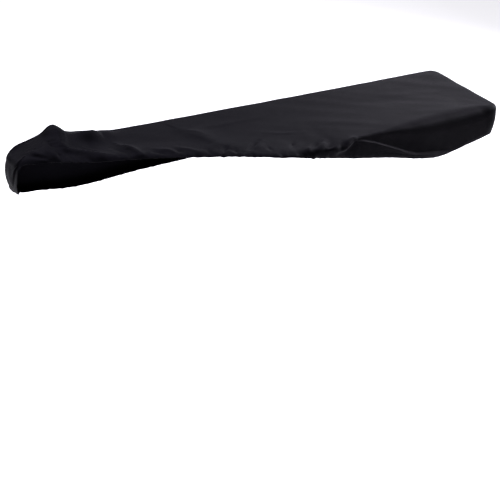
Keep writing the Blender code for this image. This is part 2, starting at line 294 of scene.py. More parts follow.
def hermite(before, after, slope_before, slope_after, span, part):
    """A smooth curve between two values with the given slopes."""
    square, cube = part * part, part * part * part
    value = before * (2 * cube - 3 * square + 1) + after * (3 * square - 2 * cube)
    return value + (slope_before * (cube - 2 * square + part) + slope_after * (cube - square)) * span


def key_near(index):
    """A key column by its number, which may run past the loop's start or end."""
    turns, wrapped = divmod(index, len(KEYS))
    return KEYS[wrapped], KEYS[wrapped].round_place + turns * LOOP


def column_at(place):
    """The fold, the low turn, the hem and the wall's bulge at a distance round the cover."""
    index = len(KEYS) - 1
    while KEYS[index].round_place > place:
        index -= 1
    (older, at_older), (first, at_first) = key_near(index - 1), key_near(index)
    (second, at_second), (newer, at_newer) = key_near(index + 1), key_near(index + 2)
    span = at_second - at_first
    part = (place - at_first) / span
    found = []
    for name in ("fold", "low", "hem", "bulge"):
        p, q, r, s = (getattr(item, name) for item in (older, first, second, newer))
        slope_first = (r - p) / (at_second - at_older)
        slope_second = (s - q) / (at_newer - at_first)
        found.append(hermite(q, r, slope_first, slope_second, span, part))
    return found


def read_middle(x):
    """The top's middle line at x, drawn back from the right end so that the end's columns fan out."""
    index = 0
    while index < len(MIDDLE) - 2 and x > MIDDLE[index + 1].x:
        index += 1
    before, after = MIDDLE[index], MIDDLE[index + 1]
    part = min(max((x - before.x) / (after.x - before.x), 0.0), 1.0)
    ease = part * part * (3 - 2 * part)
    pulled = min(max((x - PULL_START_X) / (SIDE_RIGHT_X - PULL_START_X), 0.0), 1.0)
    middle_y = before.y + (after.y - before.y) * part
    middle_z = before.z + (after.z - before.z) * ease
    return Vector((x - SPINE_PULL * pulled * pulled, middle_y, middle_z))


print("hem at the middle of the front", [round(value, 3) for value in column_at(RIGHT_START / 2)[2]])

# %% [markdown]
# ## The ledge across the front
#
# Where the hem has been drawn up, the front wall does not fall straight. A long ridge starts at the edge of
# the top and falls away to the right. Seen from the side it is a little ledge: the cloth below stands further
# out than the cloth above, and the narrow shelf between them catches the light. The solid has this ridge as a
# soft roll. The sheet gives it its crisp line. A second table says how soft the turn from the top to the wall
# is. It is tight at the ledge's highest place, and wide on the plain right part.

# %% The ledge and the softness of the edge
Ledge = namedtuple("Ledge", "x z depth")
Softness = namedtuple("Softness", "place edge low")

LEDGE = (
    Ledge(0.136, -0.003, 0.000),
    Ledge(0.151, -0.003, 0.003),
    Ledge(0.175, -0.009, 0.004),
    Ledge(0.207, -0.019, 0.004),
    Ledge(0.261, -0.041, 0.004),
    Ledge(0.305, -0.060, 0.004),
    Ledge(0.335, -0.073, 0.004),
    Ledge(0.357, -0.081, 0.005),
    Ledge(0.378, -0.087, 0.007),
    Ledge(0.425, -0.094, 0.012),
    Ledge(0.452, -0.098, 0.010),
    Ledge(0.476, -0.100, 0.000),
)
LEDGE_OUT = 0.85
LEDGE_HALF = 0.0004
LEDGE_SLOPE = 0.42
LEDGE_ROUND = 0.0010
LEDGE_SHARES = (0.06, 0.92)
LEDGE_LONGEST_SHARE = 0.1

# By distance round the cover, from the left end of the front hem
EDGE_SOFTNESS = (
    Softness(0.00, 0.012, 0.014),
    Softness(0.50, 0.009, 0.014),
    Softness(0.64, 0.008, 0.010),
    Softness(0.69, 0.005, 0.010),
    Softness(0.79, 0.010, 0.010),
    Softness(0.88, 0.026, 0.005),
    Softness(1.00, 0.036, 0.005),
    Softness(RIGHT_START, 0.034, 0.014),
    Softness(RIGHT_START + 0.06, 0.014, 0.014),
    Softness(BACK_START, 0.012, 0.014),
    Softness(LOOP, 0.012, 0.014),
)


def softness_at(place):
    """How far the roundness of the edge and of the low turn reaches at a distance round the cover."""
    places = [row.place for row in EDGE_SOFTNESS]
    edge = float(np.interp(place, places, [row.edge for row in EDGE_SOFTNESS]))
    return Softness(place, edge, float(np.interp(place, places, [row.low for row in EDGE_SOFTNESS])))


def ledge_at(place):
    """The ledge at a distance round the cover."""
    x = place + SIDE_LEFT_X
    places = [row.x for row in LEDGE]
    height = float(np.interp(x, places, [row.z for row in LEDGE]))
    return Ledge(x, height, float(np.interp(x, places, [row.depth for row in LEDGE])))


print("the ledge is highest at", max(LEDGE, key=lambda row: row.z).x)

# %% [markdown]
# ## From a column to points of cloth
#
# Cloth never turns a sharp corner. Each corner of a column is replaced by a short quadratic curve, cut back
# no further than the fold's own softness. The wall bulges a little, and the top runs to its middle with an
# easing that keeps it level at both ends. Every point also gets its place on the flat cut, which the weave
# follows: on the top that is its place from above, and on the skirt it is the length down from the fold.

# %% Points of one column
TUCK_ROWS = 6
LOW_ROWS = 4
UNDER_ROWS = 8
OVER_ROWS = 9
LEDGE_ROWS = 2
FOLD_ROWS = 5
TOP_ROWS = 24
Spot = namedtuple("Spot", "place round_place above_hem from_fold flat_x flat_y")


def rounded_corner(before, corner, after, reach, count):
    """Points on a soft corner, cut back by at most the reach along both of its sides."""
    into = before - corner
    out = after - corner
    start = corner + into.normalized() * min(reach, CORNER_SHARE * into.length)
    end = corner + out.normalized() * min(reach, CORNER_SHARE * out.length)
    points = []
    for step in range(count + 1):
        part = step / count
        points.append(start * (1 - part) ** 2 + corner * (2 * part * (1 - part)) + end * part ** 2)
    return points


def wall_points(start, end, out, bulge, ledge):
    """The wall between its low corner and its fold, with its ledge and its bulge."""
    run = end - start
    share = (ledge.z - start.z) / max(run.z, WELD)
    share = min(max(share, LEDGE_SHARES[0]), LEDGE_SHARES[1])
    half = run.normalized() * min(LEDGE_HALF + LEDGE_SLOPE * ledge.depth, LEDGE_LONGEST_SHARE * run.length)
    lip = start.lerp(end, share) - half + out * (LEDGE_OUT * ledge.depth)
    back = start.lerp(end, share) + half - out * ((1 - LEDGE_OUT) * ledge.depth)
    lip_corner = rounded_corner(start, lip, back, LEDGE_ROUND, LEDGE_ROWS)
    back_corner = rounded_corner(lip, back, end, LEDGE_ROUND, LEDGE_ROWS)
    points = [start.lerp(lip_corner[0], step / UNDER_ROWS) for step in range(1, UNDER_ROWS)]
    points += lip_corner + [lip_corner[-1].lerp(back_corner[0], 0.5)] + back_corner
    points += [back_corner[-1].lerp(end, step / OVER_ROWS) for step in range(1, OVER_ROWS)]
    bulged = []
    for point in points:
        part = min(max((point - start).dot(run) / run.length_squared, 0.0), 1.0)
        bulged.append(point + out * (4 * bulge * part * (1 - part)))
    return bulged


def column_points(key, middle, softness, ledge):
    """One column from its hem to the middle of the top, and the number of its last point on the skirt."""
    fold, low, hem, bulge = key
    low_corner = rounded_corner(hem, low, fold, softness.low, LOW_ROWS)
    fold_corner = rounded_corner(low, fold, middle, softness.edge, FOLD_ROWS)
    out = Vector((fold.x - middle.x, fold.y - middle.y, 0.0)).normalized()
    points = [hem.lerp(low_corner[0], step / TUCK_ROWS) for step in range(TUCK_ROWS)]
    points += low_corner
    points += wall_points(low_corner[-1], fold_corner[0], out, bulge, ledge)
    points += fold_corner
    skirt_end = len(points) - 1
    for step in range(1, TOP_ROWS + 1):
        part = step / TOP_ROWS
        point = fold_corner[-1].lerp(middle, part)
        ease = part * part * (3 - 2 * part)
        point.z = fold_corner[-1].z + (middle.z - fold_corner[-1].z) * ease
        points.append(point)
    return points, skirt_end, out


def column_spots(place, middle):
    """The column's points with their distances round and up, and their places on the flat cut."""
    points, skirt_end, out = column_points(column_at(place), middle, softness_at(place), ledge_at(place))
    above = [0.0]
    for before, after in zip(points, points[1:]):
        above.append(above[-1] + (after - before).length)
    spots = []
    for index, point in enumerate(points):
        below_fold = max(above[skirt_end] - above[index], 0.0)
        base = points[skirt_end] if index < skirt_end else point
        flat = base + out * below_fold
        from_fold = max(above[index] - above[skirt_end], 0.0)
        spots.append(Spot(point, place, above[index], from_fold, flat.x, flat.y))
    return spots


print("rows in a column", len(column_spots(0.3, read_middle(-0.24))))

# %% [markdown]
# ## The open sheet
#
# Columns stand 3.4 mm apart where there are creases and gathers, and wider on the plain right part, so that
# the detail goes where it is seen and the sheet has no more triangles than it needs. Neighbouring columns are
# joined by quads. The two halves of the top meet point to point, and a weld closes them.

# %% Columns all round
FINE_STEP = 0.0034
WIDE_STEP = 0.0060
FINE_END_X = 0.450
RIGHT_COLUMNS = 52
LEFT_COLUMNS = 64


def side_places():
    """The x of each column of a long side."""
    fine = round((FINE_END_X - SIDE_LEFT_X) / FINE_STEP)
    wide = round((SIDE_RIGHT_X - FINE_END_X) / WIDE_STEP)
    places = [SIDE_LEFT_X + (FINE_END_X - SIDE_LEFT_X) * step / fine for step in range(fine)]
    return places + [FINE_END_X + (SIDE_RIGHT_X - FINE_END_X) * step / wide for step in range(wide + 1)]


def all_columns():
    """Every column of the cloth, counter-clockwise seen from above."""
    columns = []
    for x in side_places():
        columns.append(column_spots(x - SIDE_LEFT_X, read_middle(x)))
    for step in range(1, RIGHT_COLUMNS):
        place = RIGHT_START + (BACK_START - RIGHT_START) * step / RIGHT_COLUMNS
        columns.append(column_spots(place, SPINE_RIGHT))
    for x in reversed(side_places()):
        columns.append(column_spots(BACK_START + SIDE_RIGHT_X - x, read_middle(x)))
    for step in range(1, LEFT_COLUMNS):
        place = LEFT_START + (LOOP - LEFT_START) * step / LEFT_COLUMNS
        columns.append(column_spots(place, SPINE_LEFT))
    return columns


COLUMNS = all_columns()
print(len(COLUMNS), "columns of", len(COLUMNS[0]), "points")

# %% Join the columns into a sheet


def open_sheet(columns):
    """The cloth as one open bmesh that keeps each point's distances and flat place."""
    work = bmesh.new()
    names = ("round_place", "above_hem", "from_fold", "flat_x", "flat_y")
    layers = {name: work.verts.layers.float.new(name) for name in names}
    rows = []
    for column in columns:
        row = []
        for spot in column:
            vertex = work.verts.new(spot.place)
            for name, layer in layers.items():
                vertex[layer] = getattr(spot, name)
            row.append(vertex)
        rows.append(row)
    for index, this in enumerate(rows):
        following = rows[(index + 1) % len(rows)]
        for row in range(len(this) - 1):
            work.faces.new((this[row], following[row], following[row + 1], this[row + 1]))
    bmesh.ops.remove_doubles(work, verts=work.verts, dist=WELD)
    work.normal_update()
    return work, layers


cloth, LAYERS = open_sheet(COLUMNS)
print("open sheet", len(cloth.verts), "points,", len(cloth.faces), "faces")

# %% [markdown]
# At the left end the rows of the tables meet at an angle, which would show as straight ribs. Real cloth pulls
# such ribs flat. The height of the top there is read into a small map, the map is blurred, and each point
# moves to the blurred height, less and less towards the edges, so that the end becomes one soft dome.

# %% Relax the left end
RELAX_END_X = -0.470
RELAX_FADE = 0.050
RELAX_EDGE = 0.024
RELAX_CELL = 0.002
RELAX_REACH = 0.010


def blur(heights, cells):
    """A Gaussian blur of a map along both of its directions."""
    steps = np.arange(-3 * cells, 3 * cells + 1)
    weights = np.exp(-(steps / cells) ** 2)
    for axis in (0, 1):
        heights = np.apply_along_axis(np.convolve, axis, heights, weights, "same")
    return heights


def relax_end(work, from_fold):
    """Evens out the height of the top near the left end."""
    places = np.array([vertex.co[:] for vertex in work.verts])
    inside = np.array([vertex[from_fold] for vertex in work.verts])
    top = (places[:, 0] < RELAX_END_X + RELAX_FADE) & (inside > 0.0)
    corner = places[top, :2].min(axis=0)
    cells = np.round((places[top, :2] - corner) / RELAX_CELL).astype(int)
    total, count = np.zeros(cells.max(axis=0) + 1), np.zeros(cells.max(axis=0) + 1)
    np.add.at(total, (cells[:, 0], cells[:, 1]), places[top, 2])
    np.add.at(count, (cells[:, 0], cells[:, 1]), 1.0)
    reach = round(RELAX_REACH / RELAX_CELL)
    filled = blur(np.where(count > 0, total / np.maximum(count, 1.0), 0.0), reach)
    height = filled / np.maximum(blur((count > 0).astype(float), reach), WELD)
    aim = height[cells[:, 0], cells[:, 1]]
    share = np.clip(inside[top] / RELAX_EDGE, 0.0, 1.0)
    share *= np.clip((RELAX_END_X - places[top, 0]) / RELAX_FADE, 0.0, 1.0)
    for vertex, z, part in zip([work.verts[index] for index in np.flatnonzero(top)], aim, share):
        vertex.co.z += (z - vertex.co.z) * part
    work.normal_update()
    return int(top.sum())


cloth.verts.ensure_lookup_table()
print(relax_end(cloth, LAYERS["from_fold"]), "points of the top relaxed")

# %% [markdown]
# ## Folds and creases
#
# A fold is a short route on the cloth with a height, and a width on either side of it. Walking along the
# route with the cloth's outside up, `left` is how far the fold reaches on the left hand and `right` on the
# right. A soft roll has both alike. A pulled crease is steep on one side, so one width is small. A height
# below zero is a trough. The first table is the main folds, the ones that still show from across a room.

# %% The main folds
Fold = namedtuple("Fold", "name route left right height")

MAIN_FOLDS = (
    Fold("hollow over the drag ridge",
         ((0.205, -0.145, 0.000), (0.400, -0.148, -0.070)), 0.020, 0.020, -0.004),
    Fold("first ruffle",
         ((0.142, -0.142, 0.000), (0.127, -0.145, -0.005), (0.110, -0.149, -0.013), (0.082, -0.155, -0.016)),
         0.007, 0.010, 0.008),
    Fold("trough beside the first ruffle",
         ((0.124, -0.138, 0.002), (0.108, -0.142, -0.001), (0.083, -0.153, -0.005)), 0.006, 0.004, -0.002),
    Fold("second ruffle", ((0.070, -0.119, -0.003), (0.048, -0.136, -0.002), (0.026, -0.150, -0.002)),
         0.006, 0.006, 0.004),
    Fold("third ruffle", ((0.018, -0.130, 0.002), (-0.010, -0.148, -0.003)), 0.007, 0.007, 0.003),
    Fold("ridge down from the peak", ((-0.538, 0.124, 0.044), (-0.558, 0.058, 0.026)), 0.018, 0.018, 0.003),
    Fold("slack ridge right of the peak",
         ((-0.514, 0.108, 0.038), (-0.490, 0.103, 0.034), (-0.460, 0.104, 0.026), (-0.419, 0.112, 0.016)),
         0.018, 0.026, 0.025),
    Fold("long slack crease",
         ((-0.540, 0.067, 0.028), (-0.513, 0.050, 0.020), (-0.474, 0.019, 0.014), (-0.440, -0.002, 0.009)),
         0.008, 0.016, 0.009),
    Fold("valley under the slack crease",
         ((-0.546, 0.056, 0.018), (-0.518, 0.034, 0.010)), 0.009, 0.009, -0.004),
    Fold("second slack crease", ((-0.411, 0.049, 0.005), (-0.382, -0.020, 0.009)), 0.014, 0.007, 0.007),
    Fold("soft step of the middle", ((-0.240, 0.066, 0.004), (-0.192, -0.040, 0.006)), 0.040, 0.018, 0.006),
)
print(len(MAIN_FOLDS), "main folds")

# %% [markdown]
# The second table is the finer creases. Around the peak they run down and out, as cloth does from a point
# where it is bunched. On the drawn-back front they run up from the gathered hem. On the fitted right they are
# long, shallow and slanted, the trace of the cover having been pulled towards one corner.

# %% The finer creases
CREASES = (
    Fold("sharp line of the slack crease",
         ((-0.544, 0.070, 0.034), (-0.524, 0.059, 0.030), (-0.500, 0.041, 0.024), (-0.474, 0.020, 0.018)),
         0.009, 0.008, 0.0022),
    Fold("crease beside the slack crease",
         ((-0.500, 0.062, 0.014), (-0.474, 0.040, 0.012), (-0.446, 0.014, 0.010)), 0.006, 0.004, 0.0016),
    Fold("sharp line of the second slack crease",
         ((-0.416, 0.060, 0.005), (-0.398, 0.018, 0.010), (-0.380, -0.023, 0.012)), 0.008, 0.003, 0.0024),
    Fold("trough under the second slack crease",
         ((-0.432, 0.042, 0.006), (-0.418, 0.018, 0.006), (-0.402, -0.008, 0.008)), 0.007, 0.009, -0.0034),
    Fold("left side of the peak",
         ((-0.548, 0.118, 0.040), (-0.562, 0.095, 0.033), (-0.571, 0.074, 0.025), (-0.578, 0.056, 0.021)),
         0.010, 0.006, 0.0032),
    Fold("dark line of the peak",
         ((-0.544, 0.105, 0.036), (-0.557, 0.081, 0.029), (-0.566, 0.057, 0.022)), 0.005, 0.005, -0.0030),
    Fold("right side of the peak",
         ((-0.529, 0.118, 0.037), (-0.531, 0.102, 0.032), (-0.535, 0.086, 0.028)), 0.006, 0.006, 0.0026),
    Fold("crease down to the hem",
         ((-0.556, 0.054, 0.022), (-0.553, 0.042, 0.015), (-0.548, 0.030, 0.009)), 0.004, 0.004, -0.0034),
    Fold("ridge beside the crease to the hem",
         ((-0.566, 0.056, 0.022), (-0.564, 0.044, 0.016), (-0.560, 0.032, 0.009)), 0.005, 0.006, 0.0020),
    Fold("upper crease of the end",
         ((-0.622, 0.082, 0.012), (-0.606, 0.064, 0.018), (-0.592, 0.051, 0.015), (-0.578, 0.040, 0.009)),
         0.007, 0.003, 0.0030),
    Fold("dark line under the upper crease",
         ((-0.625, 0.066, 0.017), (-0.606, 0.054, 0.016), (-0.586, 0.044, 0.011)), 0.003, 0.004, -0.0022),
    Fold("lower crease of the end",
         ((-0.604, 0.046, 0.011), (-0.594, 0.041, 0.008), (-0.580, 0.036, 0.006)), 0.004, 0.003, 0.0024),
    Fold("lit edge of the soft step",
         ((-0.236, 0.064, 0.004), (-0.212, 0.038, 0.005), (-0.196, 0.010, 0.005)), 0.010, 0.006, 0.0012),
    Fold("hem crease of the middle",
         ((-0.150, -0.104, 0.008), (-0.123, -0.082, 0.007), (-0.090, -0.058, 0.005)), 0.004, 0.006, -0.0045),
    Fold("ridge beside the hem crease",
         ((-0.134, -0.108, 0.007), (-0.110, -0.090, 0.007), (-0.084, -0.068, 0.005)), 0.006, 0.010, 0.0020),
    Fold("short hem crease",
         ((-0.179, -0.064, 0.007), (-0.193, -0.075, 0.007), (-0.207, -0.092, 0.005)), 0.005, 0.005, -0.0034),
    Fold("pinched line on the top",
         ((-0.060, -0.025, 0.004), (-0.020, -0.044, 0.003), (0.010, -0.052, 0.002), (0.045, -0.058, 0.002)),
         0.004, 0.003, 0.0018),
    Fold("dent behind the second slack crease",
         ((-0.233, 0.036, 0.008), (-0.222, 0.004, 0.009), (-0.210, -0.030, 0.008)), 0.012, 0.010, -0.0018),
    Fold("first dent by the hem",
         ((-0.340, -0.010, 0.009), (-0.318, -0.025, 0.009), (-0.301, -0.048, 0.007)), 0.009, 0.004, 0.0036),
    Fold("shadow of the first dent",
         ((-0.353, -0.018, 0.009), (-0.338, -0.027, 0.009), (-0.322, -0.042, 0.008)), 0.006, 0.006, -0.0034),
    Fold("second dent by the hem",
         ((-0.292, -0.020, 0.008), (-0.272, -0.041, 0.009), (-0.256, -0.060, 0.008)), 0.009, 0.005, 0.0030),
    Fold("shadow of the second dent",
         ((-0.302, -0.030, 0.009), (-0.288, -0.044, 0.009)), 0.005, 0.006, -0.0026),
    Fold("crest of the first ruffle",
         ((0.132, -0.145, 0.000), (0.120, -0.148, -0.006), (0.107, -0.152, -0.012), (0.088, -0.156, -0.015)),
         0.005, 0.011, 0.0035),
    Fold("wrinkle at the back of the end",
         ((-0.660, 0.112, -0.005), (-0.661, 0.104, -0.060)), 0.006, 0.006, 0.0016),
    Fold("wrinkle of the end", ((-0.660, 0.086, -0.010), (-0.660, 0.080, -0.060)), 0.005, 0.006, 0.0014),
    Fold("hollow of the end", ((-0.657, 0.063, -0.015), (-0.658, 0.059, -0.065)), 0.005, 0.005, -0.0016),
    Fold("trough left of the second ruffle",
         ((0.052, -0.114, 0.000), (0.032, -0.128, -0.002), (0.012, -0.140, -0.001)), 0.005, 0.005, -0.0036),
    Fold("trough right of the second ruffle",
         ((0.074, -0.142, -0.002), (0.061, -0.149, -0.002), (0.044, -0.152, -0.004)), 0.005, 0.005, -0.0036),
    Fold("dimple of the top", ((-0.012, -0.096, 0.001), (-0.034, -0.118, 0.002)), 0.005, 0.004, -0.0030),
    Fold("pucker at the middle of the hem",
         ((-0.168, -0.078, 0.007), (-0.177, -0.104, 0.005)), 0.005, 0.005, -0.0026),
    Fold("pucker left of it", ((-0.230, -0.056, 0.008), (-0.233, -0.080, 0.006)), 0.005, 0.005, -0.0024),
    Fold("pucker right of it", ((-0.088, -0.098, 0.006), (-0.093, -0.124, 0.005)), 0.005, 0.005, -0.0024),
    Fold("long line over the middle",
         ((-0.227, 0.057, 0.004), (-0.113, 0.054, 0.004), (-0.006, 0.055, 0.004)), 0.014, 0.008, 0.0010),
    Fold("slanted wave by the ruffles",
         ((0.040, 0.000, 0.002), (0.162, -0.050, 0.002), (0.244, -0.098, 0.002)), 0.016, 0.012, 0.0007),
    Fold("slanted wave of the back",
         ((0.330, 0.052, 0.003), (0.493, 0.016, 0.002), (0.620, -0.006, 0.002)), 0.016, 0.010, 0.0006),
    Fold("slanted wave of the front",
         ((0.350, -0.066, 0.002), (0.467, -0.097, 0.002), (0.580, -0.122, 0.002)), 0.014, 0.010, 0.0006),
    Fold("trough between the waves",
         ((0.240, 0.044, 0.003), (0.382, 0.006, 0.002), (0.500, -0.040, 0.002)), 0.014, 0.014, -0.0006),
    Fold("wave towards the right corner",
         ((0.560, -0.030, 0.002), (0.597, -0.087, 0.002), (0.630, -0.134, 0.003)), 0.012, 0.016, 0.0006),
)
print(len(CREASES), "finer creases")

# %% Lift the cloth over its folds
FOLD_END = 0.12


def fold_lift(points, normals, fold):
    """How far one fold lifts each point along its normal."""
    route = np.array(fold.route)
    lengths = np.linalg.norm(np.diff(route, axis=0), axis=1)
    starts = np.concatenate(([0.0], np.cumsum(lengths)))
    nearest = np.full(len(points), np.inf)
    along = np.zeros(len(points))
    side = np.zeros(len(points))
    for start, step, length, before in zip(route, np.diff(route, axis=0), lengths, starts):
        part = np.clip((points - start) @ step / length ** 2, 0.0, 1.0)
        away = points - start - part[:, None] * step
        distance = np.linalg.norm(away, axis=1)
        closer = distance < nearest
        nearest = np.where(closer, distance, nearest)
        along = np.where(closer, (before + part * length) / starts[-1], along)
        right_hand = np.cross(step / length, normals)
        side = np.where(closer, np.einsum("ij,ij->i", away, right_hand), side)
    width = np.where(side > 0.0, fold.right, fold.left)
    taper = np.sin(np.pi * np.clip(along, FOLD_END, 1.0 - FOLD_END))
    return fold.height * taper * np.exp(-(nearest / width) ** 2)


def folds_lift(points, normals, folds):
    """The lift of a whole table of folds."""
    return sum(fold_lift(points, normals, fold) for fold in folds)


def points_and_normals(work):
    """The bmesh's points and normals as arrays."""
    points = np.array([vertex.co[:] for vertex in work.verts])
    normals = np.array([vertex.normal[:] for vertex in work.verts])
    return points, normals


def move_points(work, moves):
    """Moves every point and renews the normals."""
    for vertex, move in zip(work.verts, moves):
        vertex.co += Vector(move)
    work.normal_update()


places, normals = points_and_normals(cloth)
lift = folds_lift(places, normals, MAIN_FOLDS)
move_points(cloth, normals * lift[:, None])
print("main folds lift the cloth from", round(lift.min(), 4), "to", round(lift.max(), 4))

places, normals = points_and_normals(cloth)
lift = folds_lift(places, normals, CREASES)
move_points(cloth, normals * lift[:, None])
print("creases lift it from", round(lift.min(), 4), "to", round(lift.max(), 4))

# %% [markdown]
# ## The gathers of the elastic
#
# An elastic hem is cut longer than it lies, so its cloth puckers: small ruffles stand at right angles to the
# hem, strongest at the edge and gone a few centimetres up. They are never even. A noise that is read along
# the hem in pucker widths, and far more slowly up the cloth, has just that look. A second, broader noise
# carries on where the first has died away. A table says how strong the gathers are in each part of the hem.

# %% Gather the hem
Gather = namedtuple("Gather", "place depth")
PUCKER = 0.011
BROAD_PUCKER = 0.027
GATHER_REACH = 0.014
BROAD_REACH = 0.034
BROAD_SHARE = 0.6
FINE_LEVEL = 0.0
BROAD_LEVEL = 5.0

# By distance round the cover, from the left end of the front hem
GATHERS = (
    Gather(0.00, 0.0034),
    Gather(0.20, 0.0028),
    Gather(0.30, 0.0034),
    Gather(0.50, 0.0034),
    Gather(0.62, 0.0016),
    Gather(0.80, 0.0008),
    Gather(RIGHT_START, 0.0008),
    Gather(BACK_START, 0.0012),
    Gather(LEFT_START, 0.0020),
    Gather(LOOP, 0.0022),
)


def hem_noise(round_places, above_hem, width, level):
    """Noise read along the hem in steps of the width. Another level of it gives another pattern."""
    pairs = zip(round_places / width, above_hem / BROAD_REACH)
    return np.array([noise.noise((along, up, level)) for along, up in pairs])


def gather_lift(round_places, above_hem):
    """How far the gathers lift each point."""
    depth = np.interp(round_places, [item.place for item in GATHERS], [item.depth for item in GATHERS])
    fine = hem_noise(round_places, above_hem, PUCKER, FINE_LEVEL)
    broad = hem_noise(round_places, above_hem, BROAD_PUCKER, BROAD_LEVEL)
    fine *= np.exp(-(above_hem / GATHER_REACH) ** 2)
    broad *= BROAD_SHARE * np.exp(-(above_hem / BROAD_REACH) ** 2)
    return depth * (fine + broad)


round_places = np.array([vertex[LAYERS["round_place"]] for vertex in cloth.verts])
above_hem = np.array([vertex[LAYERS["above_hem"]] for vertex in cloth.verts])
places, normals = points_and_normals(cloth)
lift = gather_lift(round_places, above_hem)
move_points(cloth, normals * lift[:, None])
print("gathers from", round(lift.min(), 4), "to", round(lift.max(), 4))

# %% [markdown]
# ## The lie of the loose cloth
#
# Between its folds thin cloth is never a true plane. Long low waves, a few tenths of a millimetre high, run
# the way the cloth was pulled. They are too low to see as shapes, but they break up the sheen. The same noise
# is read along the pull in long steps and across it in short ones.

# %% Add the long low waves
PULL_DIRECTION = (0.84, -0.54)
WAVE_LENGTH = 0.22
WAVE_WIDTH = 0.036
WAVE_HEIGHT = 0.0007
WALL_WAVE = 0.060


def wave_lift(points):
    """How far the low waves lift each point."""
    along_x, along_y = PULL_DIRECTION
    heights = []
    for x, y, z in points:
        along = (x * along_x + y * along_y) / WAVE_LENGTH
        across = (x * along_y - y * along_x) / WAVE_WIDTH
        heights.append(noise.noise((along, across, z / WALL_WAVE)))
    return np.array(heights) * WAVE_HEIGHT


places, normals = points_and_normals(cloth)
lift = wave_lift(places)
move_points(cloth, normals * lift[:, None])
print("waves from", round(lift.min(), 5), "to", round(lift.max(), 5))

# %% [markdown]
# ## Make it a real sheet
#
# The bmesh becomes a mesh with a UV map in metres of flat cloth, so that a weave read from it keeps its true
# scale over every fold. Solidify then gives the sheet its thickness. Real polyester of this kind is 0.3 mm
# thick. The sheet here is 0.9 mm, which keeps its two faces apart in tight folds and gives the hem an edge.

# %% Cloth mesh with its thickness
CLOTH_THICKNESS = 0.0009


def cloth_object(work, layers):
    """The finished piece, at the origin, with its thickness applied."""
    flat = work.loops.layers.uv.new("flat_cloth")
    for face in work.faces:
        for loop in face.loops:
            loop[flat].uv = (loop.vert[layers["flat_x"]], loop.vert[layers["flat_y"]])
    mesh = bpy.data.meshes.new(PIECE)
    work.to_mesh(mesh)
    work.free()
    piece = bpy.data.objects.new(PIECE, mesh)
    bpy.context.scene.collection.objects.link(piece)
    mesh.shade_smooth()
    thickness = piece.modifiers.new("cloth thickness", "SOLIDIFY")
    thickness.thickness = CLOTH_THICKNESS
    thickness.offset = -1.0
    thickness.use_even_offset = False
    bpy.ops.object.select_all(action="DESELECT")
    piece.select_set(True)
    bpy.context.view_layer.objects.active = piece
    bpy.ops.object.modifier_apply(modifier=thickness.name)
    return piece


cover = cloth_object(cloth, LAYERS)
print(cover.name, len(cover.data.polygons), "faces")

# %% [markdown]
# ## The cloth's finish
#
# The real cloth is a plain weave of black polyester filament. Its threads are smooth and lie flat, so the
# cloth is not matt: it has a soft cool sheen where light comes in low from behind, and is nearly pure black
# where it faces away from the light. A broad gloss carries that. It is weak face on and strong at a low
# angle, and it is faintly blue. The fibres add a trace of their own sheen.

# %% Helpers for materials


def linear(hex_colour):
    """An sRGB hex colour as linear red, green, blue and alpha."""
    channels = [int(hex_colour[index:index + 2], 16) / 255 for index in (1, 3, 5)]
    return [c / 12.92 if c <= 0.04045 else ((c + 0.055) / 1.055) ** 2.4 for c in channels] + [1.0]


def add_node(tree, kind, settings=None, inputs=None):
    """Adds a node with its settings. An input is a value, or another node's output socket."""
    node = tree.nodes.new(kind)
    for name, value in (settings or {}).items():
        setattr(node, name, value)
    for name, value in (inputs or {}).items():
        if isinstance(value, bpy.types.NodeSocket):
            tree.links.new(value, node.inputs[name])
        else:
            node.inputs[name].default_value = value
    return node


print("middle grey in linear light", [round(value, 4) for value in linear("#808080")])

# %% Black polyester, plain weave
# The real threads are 0.35 mm apart. They are drawn at 1.4 mm, four times as coarse, or they would not show.
THREAD_SPACING = 0.0014
CLOTH_DARK = "#070709"
CLOTH_PALE = "#0A0A0C"
GLOSS_TINT = "#D6CAFF"
SHEEN_TINT = "#E0DAF6"
GLOSS_LEVEL = 0.02
SHEEN_WEIGHT = 0.02
SHEEN_ROUGHNESS = 0.35
FIBRE_IOR = 1.5
THREAD_BUMP = 0.20
THREAD_HEIGHT = 0.0002
CRUMPLE = 0.012
CRUMPLE_BUMP = 0.25
CRUMPLE_HEIGHT = 0.0010
SHADE_PATCH = 0.070
ROUGHNESS_LEAST = 0.51
ROUGHNESS_MOST = 0.60


